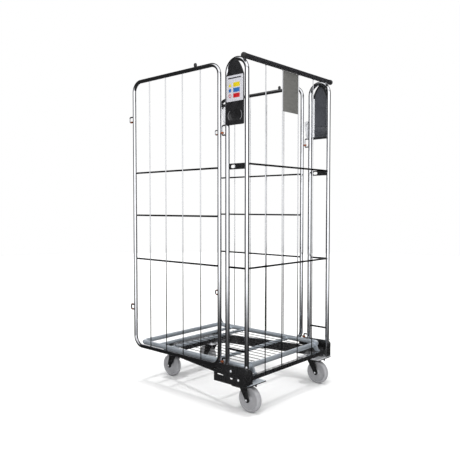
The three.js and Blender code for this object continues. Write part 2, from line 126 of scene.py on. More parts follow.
# Holes of a corner leaf: y, z, width, height and the corners of the outline.
CORNER_HOLES = ((-0.3245, 0.200, 0.011, 0.011, 24), (-0.328, 0.168, 0.018, 0.015, 28),
                (-0.3725, 0.1655, 0.011, 0.011, 24), (-0.257, 0.172, 0.040, 0.006, 28),
                (-0.251, 0.202, 0.022, 0.005, 28))
# Guessed bolt heads in two round holes and at the foot of the rear post: y, z, radius in mm.
CORNER_BOLTS = ((-0.3245, 0.200, 5.4), (-0.3725, 0.1655, 5.4), (-0.422, 0.236, 4.0))

# Drop bolts, in (y, z): where the front edge of the blade steps out, and the hook's outline.
BLADE_STEP = ((-0.2665, 1.412), (-0.257, 1.424))
HOOK = [(-0.2785, 1.4623), (-0.270, 1.459), (-0.2645, 1.450), (-0.2605, 1.450),
        (-0.260, 1.461), (-0.255, 1.466), (-0.2565, 1.470), (-0.268, 1.4755), (-0.2785, 1.473)]

CROWN_Z = (127.5 * MM, 133 * MM)
LEG_X = 22.5 * MM
LEG_THICK = 3.5 * MM
LEG_END_R = 14 * MM
AXLE_REACH = 24.4 * MM
TREAD_DEPTH = 13 * MM
# Lower part of the swivel head, in millimetres: height above the crown, radius.
HEAD_LOWER = ((-0.5, 0), (-0.5, 27), (1.6, 28.5), (3.0, 28), (3.2, 25.5), (4.0, 25.5),
              (4.4, 27.5))


# -------- mesh helpers
def finish_mesh(bm, name, smooth=35):
    bmesh.ops.remove_doubles(bm, verts=bm.verts, dist=1e-6)
    bmesh.ops.recalc_face_normals(bm, faces=bm.faces)
    mesh = bpy.data.meshes.new(name)
    bm.to_mesh(mesh)
    bm.free()
    for polygon in mesh.polygons:
        polygon.use_smooth = True
    mesh.set_sharp_from_angle(angle=math.radians(smooth))
    piece = bpy.data.objects.new(name, mesh)
    bpy.context.scene.collection.objects.link(piece)
    return piece


def bent_path(corners, bend, steps, closed=False):
    """Points and tangents of straight runs joined by circular bends."""
    corners = [Vector(c) for c in corners]
    path = []
    count = len(corners)
    if not closed:
        path.append((corners[0], (corners[1] - corners[0]).normalized()))
    for i in range(0 if closed else 1, count if closed else count - 1):
        before, corner, after = corners[i - 1], corners[i], corners[(i + 1) % count]
        d0 = (corner - before).normalized()
        d1 = (after - corner).normalized()
        turn = d0.angle(d1)
        start = corner - d0 * bend * math.tan(turn / 2)
        inward = (d1 - d0 * d0.dot(d1)).normalized()
        for s in range(steps + 1):
            a = turn * s / steps
            point = start + d0 * bend * math.sin(a) + inward * bend * (1 - math.cos(a))
            path.append((point, (d0 * math.cos(a) + inward * math.sin(a)).normalized()))
    if not closed:
        path.append((corners[-1], (corners[-1] - corners[-2]).normalized()))
    return path


def in_mm(*pairs):
    """Pairs of millimetres as pairs of metres."""
    return [(a * MM, b * MM) for a, b in pairs]


def bridge(bm, first, second):
    """Quads between two rings with the same number of corners."""
    for i in range(len(first)):
        j = (i + 1) % len(first)
        bm.faces.new((first[i], first[j], second[j], second[i]))


def add_ring(bm, centre, normal, side, radius, sides):
    ring = []
    for i in range(sides):
        a = 2 * math.pi * i / sides
        ring.append(bm.verts.new(centre + normal * radius * math.cos(a)
                                 + side * radius * math.sin(a)))
    return ring


def soft_end(place, inward, tangent, radius, depth, order):
    """Stations of a rounded end, where the tube shrinks along a quarter circle."""
    stations = []
    for k in order:
        a = math.pi / 2 * k / 4
        stations.append((place + inward * depth * (1 - math.sin(a)), tangent,
                         radius - depth * (1 - math.cos(a))))
    return stations


def add_tube(bm, path, radius, sides, closed=False, round_end=0.0):
    """Adds rings along the path; round_end shrinks the last rings into a soft end."""
    normal = path[0][1].orthogonal().normalized()
    if closed:
        plane = path[0][1].cross(path[len(path) // 3][1])
        normal = plane.normalized() if plane.length > 1e-6 else normal
    stations = [(p, t, radius) for p, t in path]
    if round_end and not closed:
        start, t0 = path[0]
        end, t1 = path[-1]
        stations = (soft_end(start, t0, t0, radius, round_end, range(4, -1, -1))
                    + stations[1:-1] + soft_end(end, -t1, t1, radius, round_end, range(5)))
    rings = []
    previous = stations[0][1]
    for point, tangent, r in stations:
        normal = previous.rotation_difference(tangent) @ normal
        normal = (normal - tangent * normal.dot(tangent)).normalized()
        previous = tangent
        rings.append(add_ring(bm, point, normal, tangent.cross(normal), r, sides))
    for first, second in zip(rings, rings[1:]):
        bridge(bm, first, second)
    if closed:
        bridge(bm, rings[-1], rings[0])
    else:
        bm.faces.new(rings[0][::-1])
        bm.faces.new(rings[-1])


def add_bar(bm, start, end, radius, sides, round_end=0.0):
    start, end = Vector(start), Vector(end)
    tangent = (end - start).normalized()
    add_tube(bm, [(start, tangent), (end, tangent)], radius, sides, round_end=round_end)


def loop_path(points):
    """The points of a closed loop, each with its tangent."""
    count = len(points)
    return [(p, (points[(i + 1) % count] - points[i - 1]).normalized())
            for i, p in enumerate(points)]


def add_weld(bm, place, radius, axis, stretch, seed):
    """A small lumpy bead of weld metal, squashed along the axis."""
    made = bmesh.ops.create_icosphere(bm, subdivisions=2, radius=radius)
    axis = Vector(axis).normalized()
    for i, vert in enumerate(made["verts"]):
        lump = 1 + 0.10 * math.sin(7.1 * i + 3.3 * seed)
        along = axis * vert.co.dot(axis)
        across = vert.co - along
        vert.co = Vector(place) + along * 0.55 * lump + across * stretch * 0.8 * lump


def add_turned(bm, profile, origin, axis, sides=48):
    """A turned solid: pairs of distance along the axis and radius, ends on the axis or closed."""
    axis = Vector(axis).normalized()
    normal = axis.orthogonal().normalized()
    side = axis.cross(normal)
    rings = []
    for along, r in profile:
        centre = Vector(origin) + axis * along
        rings.append([bm.verts.new(centre)] if r < 1e-7
                     else add_ring(bm, centre, normal, side, r, sides))
    pairs = list(zip(rings, rings[1:]))
    if len(rings[0]) > 1 and len(rings[-1]) > 1:
        pairs.append((rings[-1], rings[0]))
    for a, b in pairs:
        if len(a) == len(b):
            bridge(bm, a, b)
            continue
        for i in range(sides):
            j = (i + 1) % sides
            bm.faces.new((a[0], b[j], b[i]) if len(a) == 1 else (a[i], a[j], b[0]))


def rounded(profile, radius, steps=4):
    """Rounds the inner corners of an open profile of (along, radius) pairs."""
    points = [Vector((a, r)) for a, r in profile]
    out = [points[0]]
    for before, corner, after in zip(points, points[1:], points[2:]):
        d0, d1 = corner - before, after - corner
        reach = min(radius, d0.length * 0.45, d1.length * 0.45)
        a = corner - d0.normalized() * reach
        b = corner + d1.normalized() * reach
        for s in range(steps + 1):
            t = s / steps
            out.append(a * (1 - t) ** 2 + corner * 2 * t * (1 - t) + b * t ** 2)
    out.append(points[-1])
    return [(p.x, p.y) for p in out]


def oval(cy, cz, width, height, sides=40):
    """A slot, oval or circle outline as (y, z) pairs."""
    r = min(width, height) / 2
    points = []
    for i in range(sides):
        a = 2 * math.pi * (i + 0.5) / sides
        c, s = math.cos(a), math.sin(a)
        points.append((cy + math.copysign(width / 2 - r, c) + r * c,
                       cz + math.copysign(height / 2 - r, s) + r * s))
    return points


def plate(name, outline, holes, thick, place, bevel, resolution=2):
    """A flat plate with holes and softened edges, made from a filled outline.

    place is a matrix from the outline's plane (x, y) and thickness (z) to the object."""
    curve = bpy.data.curves.new(name + "_outline", "CURVE")
    curve.dimensions = "2D"
    curve.fill_mode = "BOTH"
    curve.extrude = thick / 2 - bevel
    curve.bevel_depth = bevel
    curve.bevel_resolution = resolution
    curve.offset = -bevel
    for loop in [outline] + list(holes):
        spline = curve.splines.new("POLY")
        spline.points.add(len(loop) - 1)
        for point, (a, b) in zip(spline.points, loop):
            point.co = (a, b, 0, 1)
        spline.use_cyclic_u = True
    carrier = bpy.data.objects.new(name + "_carrier", curve)
    bpy.context.scene.collection.objects.link(carrier)
    bpy.context.view_layer.update()
    graph = bpy.context.evaluated_depsgraph_get()
    mesh = bpy.data.meshes.new_from_object(carrier.evaluated_get(graph))
    bpy.data.objects.remove(carrier)
    bpy.data.curves.remove(curve)
    bm = bmesh.new()
    bm.from_mesh(mesh)
    bpy.data.meshes.remove(mesh)
    bmesh.ops.transform(bm, matrix=place, verts=bm.verts)
    return finish_mesh(bm, name, smooth=50)


def upright(x):
    """Places a (y, z) outline in the plane at x, with its thickness along X."""
    return Matrix(((0, 0, 1, x), (1, 0, 0, 0), (0, 1, 0, 0), (0, 0, 0, 1)))


def crosswise(y):
    """Places an (x, z) outline in the plane at y, with its thickness along Y."""
    return Matrix(((1, 0, 0, 0), (0, 0, 1, y), (0, 1, 0, 0), (0, 0, 0, 1)))


def soften(node, width):
    """Rounds the edges of a CAD node that keeps its shape."""
    piece = nodes[node]
    modifier = piece.modifiers.new("soft_edges", "BEVEL")
    modifier.width = width
    modifier.segments = 3
    modifier.limit_method = "ANGLE"
    modifier.angle_limit = math.radians(30)
    for polygon in piece.data.polygons:
        polygon.use_smooth = True
    piece.data.set_sharp_from_angle(angle=math.radians(30))
    return piece


def second_material(piece, direction, least):
    """Gives the second material to the faces that look in a direction."""
    for polygon in piece.data.polygons:
        polygon.material_index = 1 if polygon.normal.dot(direction) > least else 0


# -------- materials
def new_material(name, metallic=0.0):
    material = bpy.data.materials.new(name)
    material.use_nodes = True
    tree = material.node_tree
    shader = tree.nodes["Principled BSDF"]
    shader.inputs["Metallic"].default_value = metallic
    return material, tree, shader


def add_node(tree, kind, **values):
    """A node; values set its inputs where it has one of that name, else its properties."""
    node = tree.nodes.new("ShaderNode" + kind)
    for key, value in values.items():
        if key in node.inputs:
            node.inputs[key].default_value = value
        else:
            setattr(node, key, value)
    return node


def noise(tree, scale, detail=3.0, rough=0.55, stretch=None):
    """Object-space noise; stretch scales the three axes, for scuffs that run one way."""
    source = add_node(tree, "TexCoord").outputs["Object"]
    if stretch:
        mapping = add_node(tree, "Mapping", Scale=stretch)
        tree.links.new(source, mapping.inputs["Vector"])
        source = mapping.outputs["Vector"]
    texture = add_node(tree, "TexNoise", Scale=scale, Detail=detail, Roughness=rough)
    tree.links.new(source, texture.inputs["Vector"])
    return texture.outputs["Fac"]


def spread(tree, source, low, high):
    """Maps the middle of a noise to a range of values."""
    limits = {"From Min": 0.3, "From Max": 0.7, "To Min": low, "To Max": high}
    node = add_node(tree, "MapRange", **limits)
    tree.links.new(source, node.inputs["Value"])
    return node.outputs["Result"]


def blend_colour(tree, factor, first, second):
    node = add_node(tree, "Mix", data_type="RGBA")
    tree.links.new(factor, node.inputs["Factor"])
    for socket, value in ((node.inputs[6], first), (node.inputs[7], second)):
        if isinstance(value, tuple):
            socket.default_value = (*value, 1)
        else:
            tree.links.new(value, socket)
    return node.outputs[2]


def mottled(tree, first, second, scale, detail=3.0, rough=0.55, most=1.0, stretch=None):
    """Noise from the first colour towards the second; most is the largest share of it."""
    share = spread(tree, noise(tree, scale, detail, rough, stretch), 0, most)
    return blend_colour(tree, share, first, second)


def bump(tree, shader, source, strength, distance):
    node = add_node(tree, "Bump", Strength=strength, Distance=distance)
    tree.links.new(source, node.inputs["Height"])
    tree.links.new(node.outputs["Normal"], shader.inputs["Normal"])


def surface(tree, shader, colour, rough, grain=None):
    """Links the colour, a clouded roughness (scale, low, high) and a fine bump (scale, detail,
    strength, distance)."""
    tree.links.new(colour, shader.inputs["Base Color"])
    scale, low, high = rough
    tree.links.new(spread(tree, noise(tree, scale), low, high), shader.inputs["Roughness"])
    if grain:
        scale, detail, strength, distance = grain
        bump(tree, shader, noise(tree, scale, detail), strength, distance)


def darkened_low(tree, colour, low, high, power, darkest):
    """Darkens a colour by height, a stand-in for the reflection of a dark floor."""
    split = add_node(tree, "SeparateXYZ")
    tree.links.new(add_node(tree, "TexCoord").outputs["Object"], split.inputs["Vector"])
    height = add_node(tree, "MapRange", **{"From Min": low, "From Max": high})
    tree.links.new(split.outputs["Z"], height.inputs["Value"])
    curve = add_node(tree, "Math", operation="POWER")
    tree.links.new(height.outputs["Result"], curve.inputs[0])
    curve.inputs[1].default_value = power
    return blend_colour(tree, curve.outputs["Value"], (darkest, darkest, darkest * 1.06), colour)


def bright_zinc():
    """Bright zinc plating on tube: clear, with faint clouding and a fine grain."""
    material, tree, shader = new_material("bright_zinc", 1.0)
    colour = mottled(tree, (0.72, 0.73, 0.76), (0.86, 0.87, 0.90), 22.0)
    colour = darkened_low(tree, colour, 0.15, 0.55, 1.0, 0.45)
    surface(tree, shader, colour, (60.0, 0.03, 0.07), (900.0, 2.0, 0.008, 0.0002))
    return material


def pale_zinc(name, mirror, rough):
    """Zinc on wire, flat bars and small fasteners: whiter than on the tubes; mirror is how
    metallic it looks, and a full mirror darkens towards the floor."""
    material, tree, shader = new_material(name, mirror)
    colour = mottled(tree, (0.82, 0.83, 0.86), (0.92, 0.93, 0.96), 40.0)
    if mirror == 1.0:
        colour = darkened_low(tree, colour, 0.43, 0.80, 2.0, 0.035)
    surface(tree, shader, colour, (90.0, rough - 0.02, rough + 0.04),
            (1200.0, 2.0, 0.02, 0.0002))
    return material


def rod_zinc_painted_dark():
    """Zinc of the cross rods, deck wires, lower rod loops and axle bolts, painted nearly black: a
    painted dark reflection.
    """
    material, tree, shader = new_material("rod_zinc_painted_dark", 1.0)
    colour = mottled(tree, (0.03, 0.03, 0.033), (0.07, 0.07, 0.075), 35.0)
    surface(tree, shader, colour, (80.0, 0.20, 0.34), (1000.0, 2.0, 0.05, 0.0002))
    return material


def galvanised():
    """Dipped zinc on deck and saddles: blue-grey spangle, satin."""
    material, tree, shader = new_material("galvanised", 0.66)
    cells = add_node(tree, "TexVoronoi", Scale=160.0)
    tree.links.new(add_node(tree, "TexCoord").outputs["Object"], cells.inputs["Vector"])
    grain = add_node(tree, "SeparateColor")
    tree.links.new(cells.outputs["Color"], grain.inputs["Color"])
    spangle = blend_colour(tree, grain.outputs["Red"], (0.56, 0.61, 0.67), (0.64, 0.70, 0.76))
    colour = mottled(tree, spangle, (0.42, 0.46, 0.51), 9.0, most=0.35)
    surface(tree, shader, colour, (45.0, 0.27, 0.38), (260.0, 4.0, 0.03, 0.0003))
    return material


def black_coat(name, gloss, colour=(0.011, 0.011, 0.012), coat=0.0):
    """Black powder coat: slight orange peel, dusty in patches, glossy where a coat is asked."""
    material, tree, shader = new_material(name)
    for socket, value in (("Coat Weight", coat), ("Coat Roughness", 0.10), ("Coat IOR", 2.1)):
        shader.inputs[socket].default_value = value
    dusty = tuple(c * 2.2 + 0.004 for c in colour)
    surface(tree, shader, mottled(tree, colour, dusty, 14.0, 6.0, most=0.35),
            (40.0, gloss - 0.05, gloss + 0.09), (420.0, 2.0, 0.10, 0.0004))
    return material


def black_plastic():
    """Moulded black plastic with a fine grain."""
    material, tree, shader = new_material("black_plastic")
    colour = mottled(tree, (0.012, 0.012, 0.013), (0.022, 0.022, 0.024), 30.0)
    surface(tree, shader, colour, (70.0, 0.30, 0.44), (1500.0, 1.0, 0.10, 0.0002))
    return material


def grey_plate():
    """Matt warm grey sheet, slightly scuffed."""
    material, tree, shader = new_material("grey_plate")
    colour = mottled(tree, (0.135, 0.135, 0.128), (0.175, 0.175, 0.165), 25.0, 6.0, 0.65,
                     stretch=(1.0, 1.0, 4.0))
    surface(tree, shader, colour, (80.0, 0.50, 0.66), (700.0, 3.0, 0.08, 0.0003))
    return material


def nylon(name, low, high, rough):
    """Mottled, finely grained plastic: the wheels, and the pale arcs of the hand grips."""
    material, tree, shader = new_material(name)
    surface(tree, shader, mottled(tree, low, high, 55.0, 6.0, 0.7),
            (120.0, rough - 0.06, rough + 0.12), (480.0, 4.0, 0.15, 0.0005))
    return material


def copper():
    """Copper-coloured bush, tarnished in places."""
    material, tree, shader = new_material("copper", 0.75)
    colour = mottled(tree, (0.62, 0.20, 0.08), (0.32, 0.09, 0.04), 190.0, 4.0)
    surface(tree, shader, colour, (260.0, 0.30, 0.50))
    return material


def sign_paint(name, colour):
    """Printed or painted sheet with a trace of dirt."""
    material, tree, shader = new_material(name)
    dirty = tuple(c * 0.72 for c in colour)
    surface(tree, shader, mottled(tree, colour, dirty, 35.0, 6.0, 0.7, 0.35),
            (90.0, 0.30, 0.46), (600.0, 2.0, 0.03, 0.0002))
    return material


ZINC = bright_zinc()
WIRE_ZINC = pale_zinc("wire_zinc", 1.0, 0.05)
PALE_ZINC = pale_zinc("pale_zinc", 0.55, 0.24)
BLADE_ZINC = pale_zinc("blade_zinc", 0.2, 0.3)
ROD_ZINC_PAINTED_DARK = rod_zinc_painted_dark()
GALVANISED = galvanised()
BLACK_STEEL = black_coat("black_steel", 0.26, coat=1.0)
BLACK_PLASTIC = black_plastic()
SLEEVE = black_coat("push_bar_sleeve", 0.24, (0.022, 0.022, 0.025), 1.0)
RUBBER = black_coat("rubber", 0.62, (0.018, 0.018, 0.018))
# Lighter blue-grey for the inboard faces of the black arch panels: a painted reflection.
PANEL_BACK_REFLECTION = black_coat("panel_back_painted_reflection", 0.40, (0.055, 0.058, 0.068))
GREY = grey_plate()
WHEEL_FACE = nylon("nylon", (0.29, 0.29, 0.305), (0.37, 0.37, 0.385), 0.5)
WHEEL_TREAD = nylon("nylon_tread", (0.80, 0.80, 0.82), (0.90, 0.90, 0.92), 0.34)
COPPER = copper()
GRIP_GLINT = nylon("grip_glint", (0.16, 0.16, 0.17), (0.22, 0.22, 0.23), 0.35)
# The white sign board is coloured light grey: painted shade.
SIGN_WHITE_SHADED = sign_paint("sign_white_painted_shade", (0.60, 0.60, 0.64))
SIGN_BLACK = sign_paint("sign_black", (0.03, 0.03, 0.035))
SIGN_YELLOW = sign_paint("sign_yellow", (0.72, 0.56, 0.01))
SIGN_BLUE = sign_paint("sign_blue", (0.03, 0.14, 0.42))
SIGN_RED = sign_paint("sign_red", (0.52, 0.01, 0.015))


def dress(piece, material, body=None, stands_for=()):
    """Gives a piece its material, the body it rides on and the nodes it replaces."""
    piece.data.materials.clear()
    for item in material if isinstance(material, (list, tuple)) else (material,):
        piece.data.materials.append(item)
    if body:
        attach(piece, body)
    if stands_for:
        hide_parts(*stands_for)
    return piece


# -------- frame
def build_arch(tag, side):
    x = side * ARCH_X
    bm = bmesh.new()
    corners = [(x, REAR_Y, ARCH_FOOT), (x, REAR_Y, ARCH_TOP), (x, FRONT_Y, ARCH_TOP),
               (x, FRONT_Y, ARCH_FOOT)]
    add_tube(bm, bent_path(corners, ARCH_BEND - 1e-5, 20), POST_R, 40)
    dress(finish_mesh(bm, f"arch_tube_{tag}"), ZINC, "frame", (f"arch_{tag}",))
    collar = in_mm((-1.2, 0), (-1.2, 5.6), (0.8, 5.0), (2.2, 3.6), (2.2, 0))
    bm = bmesh.new()
    for z in ARCH_RODS:
        add_bar(bm, (x, REAR_Y + 6 * MM, z), (x, FRONT_Y - 6 * MM, z), ARCH_ROD_R, 20)
        for y, inward in ((REAR_Y + POST_R, 1), (FRONT_Y - POST_R, -1)):
            add_turned(bm, collar, (x, y, z), (0, inward, 0), 20)
    dress(finish_mesh(bm, f"arch_rods_{tag}"), ROD_ZINC_PAINTED_DARK, "frame")


def panel_outline(node, inset=0.0):
    """Outline of an arch panel in (y, z): an arched top and two small rounded feet."""
    low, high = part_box(node)
    mid = (low.y + high.y) / 2
    r = (high.y - low.y) / 2 - inset
    foot = low.z + inset
    points = [(mid + r * math.cos(math.pi * i / 36),
               high.z - inset - PANEL_RISE * math.cos(math.pi * i / 36) ** 2) for i in range(37)]
    corner = 6 * MM
    for y, start in ((mid - r + corner, math.pi), (mid + r - corner, 1.5 * math.pi)):
        for i in range(7):
            a = start + math.pi / 2 * i / 6
            points.append((y + corner * math.cos(a), foot + corner + corner * math.sin(a)))
    return points


def build_grip_dish(tag, side, outer_x, mid):
    """Dished hand grip: rings of the oval shrink inwards and sink towards the cage."""
    width, height, z = GRIP
    bm = bmesh.new()

    def ring(inset, depth):
        loop = oval(mid, z, width - 2 * inset * MM, height - 2 * inset * MM)
        return [bm.verts.new((outer_x - side * depth * MM, a, b)) for a, b in loop]

    rings = [ring(inset, depth) for inset, depth in GRIP_RINGS]
    back = ring(5, 7.6)
    rim_back = ring(-1, 2.0)
    for first, second in zip([rim_back] + rings, rings):
        bridge(bm, first, second)
    bridge(bm, back, rim_back)
    bm.faces.new(rings[-1])
    bm.faces.new(back[::-1])
    dish = finish_mesh(bm, f"panel_grip_{tag}", 60)
    dress(dish, (BLACK_PLASTIC, PANEL_BACK_REFLECTION), "frame")
    # Faces that look inboard take the painted reflection.
    second_material(dish, (-side, 0, 0), 0.1)


def build_edge_strip(tag, side, x, low, high):
    """Bright strip that holds the front edge of an arch panel, on its inboard side."""
    section = in_mm((0, 0), (8, 0), (7.4, 2.6), (5.4, 4.8), (2.6, 6.2), (0, 6.6))
    section = section + [(-a, b) for a, b in reversed(section[2:-1])] + [(-8 * MM, 0)]
    edge = high.y - 9.5 * MM
    bm = bmesh.new()
    rings = [[bm.verts.new((x - side * b, edge + a, z)) for a, b in section]
             for z in (low.z + 14 * MM, high.z - PANEL_RISE)]
    bridge(bm, rings[0], rings[1])
    bm.faces.new(rings[0])
    bm.faces.new(rings[1][::-1])
    dress(finish_mesh(bm, f"panel_strip_{tag}", 40), PALE_ZINC, "frame")


def build_panel_ribs(tag, side, outer_x, inner_x, mid):
    """Raised rim round the grip, a lip inside the panel's edge, and pale arcs at both ends of the
    grip, a stand-in for the highlights there."""
    width, height, z = GRIP
    path = loop_path([Vector((outer_x + side * 0.4 * MM, a, b))
                      for a, b in oval(mid, z, width + 1 * MM, height + 1 * MM, 48)])
    bm = bmesh.new()
    add_tube(bm, path, 1.5 * MM, 10, closed=True)
    arcs = bmesh.new()
    for first, last in ((-7, 8), (17, 32)):
        arc = [(Vector((p.x + side * 0.4 * MM, p.y, p.z)), t)
               for p, t in (path[i % 48] for i in range(first, last))]
        add_tube(arcs, arc, 1.6 * MM, 10)
    dress(finish_mesh(arcs, f"panel_grip_ends_{tag}", 60), GRIP_GLINT, "frame")
    lip = [Vector((inner_x, a, b)) for a, b in panel_outline(f"arch_panel_{tag}", 7.5 * MM)]
    add_tube(bm, loop_path(lip), 3.2 * MM, 12, closed=True)
    dress(finish_mesh(bm, f"panel_ribs_{tag}", 60), BLACK_PLASTIC, "frame")


def build_panel(tag, side):
    node = f"arch_panel_{tag}"
    low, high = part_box(node)
    thick = high.x - low.x
    x = (low.x + high.x) / 2
    mid = (low.y + high.y) / 2
    width, height, z = GRIP
    skin = plate(f"panel_skin_{tag}", panel_outline(node), [oval(mid, z, width, height)], thick,
                 upright(x), 1.4 * MM, 4)
    dress(skin, (BLACK_PLASTIC, PANEL_BACK_REFLECTION), "frame", (node,))
    # Faces that look inboard take the painted reflection.
    second_material(skin, (-side, 0, 0), 0.9)
    outer_x = x + side * (thick / 2 - 1.0 * MM)
    build_grip_dish(tag, side, outer_x, mid)
    build_edge_strip(tag, side, x - side * thick / 2, low, high)
    build_panel_ribs(tag, side, outer_x, x - side * (thick / 2 + 3.0 * MM), mid)


def rectangle(y, z, corner, steps=5):
    """A rounded rectangle outline between two pairs of limits."""
    points = []
    for cy, cz, start in ((y[1] - corner, z[1] - corner, 0), (y[0] + corner, z[1] - corner, 1),
                          (y[0] + corner, z[0] + corner, 2), (y[1] - corner, z[0] + corner, 3)):
        for i in range(steps + 1):
            a = math.pi / 2 * (start + i / steps)
            points.append((cy + corner * math.cos(a), cz + corner * math.sin(a)))
    return points


def build_sign():
    low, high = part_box("sign_board")
    x = (low.x + high.x) / 2
    board = plate("sign_panel", rectangle((low.y, high.y), (low.z, high.z), 3 * MM), [],
                  high.x - low.x, upright(x), 0.35 * MM)
    dress(board, SIGN_WHITE_SHADED, "frame", ("sign_board",))
    face = low.x - 0.12 * MM

    def patch(name, outline, material, holes=()):
        piece = plate(name, outline, holes, 0.3 * MM, upright(face), 0.06 * MM, 1)
        dress(piece, material, "frame")

    wide = (low.y + 20 * MM, low.y + 60 * MM)
    icon = high.y - 23 * MM
    patch("sign_heading", rectangle((low.y + 12 * MM, high.y - 12 * MM),
                                    (high.z - 15 * MM, high.z - 9.5 * MM), 1 * MM), SIGN_BLACK)
    rows = ((high.z - 44 * MM, SIGN_YELLOW, "upper"), (high.z - 69 * MM, SIGN_BLUE, "middle"),
            (high.z - 94 * MM, SIGN_RED, "lower"))
    for z, material, name in rows:
        patch(f"sign_block_{name}", rectangle(wide, (z - 10 * MM, z + 10 * MM), 1 * MM), material)
    z = rows[0][0]
    patch("sign_triangle", [(icon - 10 * MM, z - 8 * MM), (icon + 10 * MM, z - 8 * MM),
                            (icon, z + 9 * MM)], SIGN_YELLOW)
    patch("sign_disc", oval(icon, rows[1][0], 17 * MM, 17 * MM, 32), SIGN_BLUE)
    patch("sign_ring", oval(icon, rows[2][0], 17 * MM, 17 * MM, 32), SIGN_RED,
          [oval(icon, rows[2][0], 11 * MM, 11 * MM, 32)])


def build_push_bar():
    low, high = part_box("push_bar")
    centre = (low + high) / 2
    reach = high.x - 8 * MM
    bm = bmesh.new()
    add_turned(bm, [(-reach, 0), (-reach, PUSH_BAR_R), (reach, PUSH_BAR_R), (reach, 0)], centre,
               (1, 0, 0), 40)
    dress(finish_mesh(bm, "push_bar_sleeve", 40), SLEEVE, "frame",
          ("push_bar",))

    # Round rubber caps on both ends, slightly thicker than the bar.
    cap = in_mm((-19, 0), (-19, 13.1), (-17.5, 13.8), (-8, 13.8), (-4, 12.6), (-1.2, 9.3),
                (0, 4.5), (0, 0))
    bm = bmesh.new()
    for _, side in SIDES:
        add_turned(bm, cap, (centre.x + side * high.x, centre.y, centre.z), (side, 0, 0), 40)
    dress(finish_mesh(bm, "push_bar_caps", 40), RUBBER, "frame")

    # Weld saddles between the bar and the shoulders of the arches.
    bm = bmesh.new()
    for _, side in SIDES:
        x = side * ARCH_X
        shoulder = Vector((x, ARCH_MID_Y, ARCH_TOP - ARCH_BEND))
        out = (Vector((x, centre.y, centre.z)) - shoulder).normalized()
        add_weld(bm, shoulder + out * (ARCH_BEND + POST_R), 6 * MM, out, 1.5, side)
    dress(finish_mesh(bm, "push_bar_welds", 60), ZINC, "frame")


def build_rear_grille():
    low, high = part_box("rear_grille")
    rod_y = low.y + 4 * MM
    wire_y = high.y - WIRE_R
    bm = bmesh.new()
    for z in REAR_RODS:
        add_bar(bm, (low.x, rod_y, z), (high.x, rod_y, z), CROSS_ROD_R, 24)
    dress(finish_mesh(bm, "rear_rods"), ROD_ZINC_PAINTED_DARK, "frame", ("rear_grille",))
    collar = in_mm((0, 0), (0, 6), (2, 5.4), (3.4, 4.1), (3.4, 0))
    bm = bmesh.new()
    for z in REAR_RODS:
        for x in REAR_WIRES:
            add_weld(bm, (x, rod_y + 4 * MM, z), 3.2 * MM, (0, 1, 0), 1.5, x * 100)
        for x in (low.x, high.x):
            add_turned(bm, collar, (x, rod_y, z), (-math.copysign(1, x), 0, 0), 20)
    for x in REAR_WIRES:
        add_bar(bm, (x, wire_y, low.z), (x, wire_y, high.z), WIRE_R, 16)
        for z, seed in ((low.z + 0.5 * MM, 37), (high.z - 0.5 * MM, 53)):
            add_weld(bm, (x, wire_y, z), 3.4 * MM, (0, 0, 1), 1.4, x * seed)
    dress(finish_mesh(bm, "rear_wires"), WIRE_ZINC, "frame")


def build_label_plate():
    low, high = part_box("label_plate")
    board = plate("label_sheet", rectangle((low.x, high.x), (low.z, high.z), 3 * MM), [],
                  high.y - low.y, crosswise((low.y + high.y) / 2), 0.7 * MM)
    dress(board, GREY, "frame", ("label_plate",))


def build_corner_plate(tag, side):
    """Leaf beside the posts, flange behind the rear post, and bolt heads."""
    node = f"corner_plate_{tag}"
    low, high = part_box(node)
    rear, front = low.y, high.y
    outer = max(abs(low.x), abs(high.x))
    foot, shoulder = CORNER_Z
    outline = [(rear, foot), (rear + 14 * MM, 0.131), (-0.332, 0.131), (-0.326, 0.135),
               (front, 0.135), (front, 0.192), (-0.233, 0.192), (-0.242, 0.226),
               (rear + 14 * MM, 0.231), (rear, shoulder)]
    leaf = plate(f"corner_leaf_{tag}", outline, [oval(*hole) for hole in CORNER_HOLES],
                 CORNER_THICK, upright(side * (outer - CORNER_THICK / 2)), 0.5 * MM, 3)
    dress(leaf, BLACK_STEEL, "frame", (node,))
    shape = [(outer, foot), (outer, shoulder), (0.356, 0.229), (0.334, 0.214), (0.325, 0.204),
             (0.325, foot)]
    flange = plate(f"corner_flange_{tag}", [(side * x, z) for x, z in shape], [], CORNER_THICK,
                   crosswise(rear + CORNER_THICK / 2), 0.5 * MM, 3)
    dress(flange, BLACK_STEEL, "frame")
    bm = bmesh.new()
    for y, z, r in CORNER_BOLTS:
        head = in_mm((0, 0), (0, r), (2.9, r), (3.7, r * 0.55), (3.9, 0))
        add_turned(bm, head, (side * (outer - 2.6 * MM), y, z), (side, 0, 0), 28)
    bolts = finish_mesh(bm, f"corner_bolts_{tag}", 50)
    dress(bolts, BLADE_ZINC, "frame")


def hex_head(bm, place, axis, across, height, washer=0.0):
    """Six-sided head with a chamfered top, and a washer under it when one is asked for."""
    axis = Vector(axis).normalized()
    place = Vector(place)
    r = across / 2 / math.cos(math.pi / 6)
    if washer:
        add_turned(bm, rounded([(0, 0), (0, washer), (1.6 * MM, washer), (1.6 * MM, 0)],
                               0.5 * MM), place, axis, 28)
        place = place + axis * 1.6 * MM
    add_turned(bm, [(0, 0), (0, r), (height * 0.82, r), (height, r * 0.86), (height, 0)],
               place, axis, 6)
    add_turned(bm, rounded([(height, 0), (height, r * 0.5), (height + 2 * MM, r * 0.5),
                            (height + 2 * MM, 0)], 0.6 * MM), place, axis, 20)


def build_castor_plate_bolts():
    """Nuts that hold the castors, on top of the four castor plates."""
    bm = bmesh.new()
    for tag in CASTORS:
        pin = joint_place(f"castor_{tag}_swivel")
        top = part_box(f"castor_plate_{tag}")[1].z
        for dx in (-38, 38):
            for dy in (-30, 30):
                place = (pin.x + dx * MM, pin.y + dy * MM, top)
                hex_head(bm, place, (0, 0, 1), 15 * MM, 7 * MM)
    dress(finish_mesh(bm, "castor_nuts", 30), PALE_ZINC, "frame")


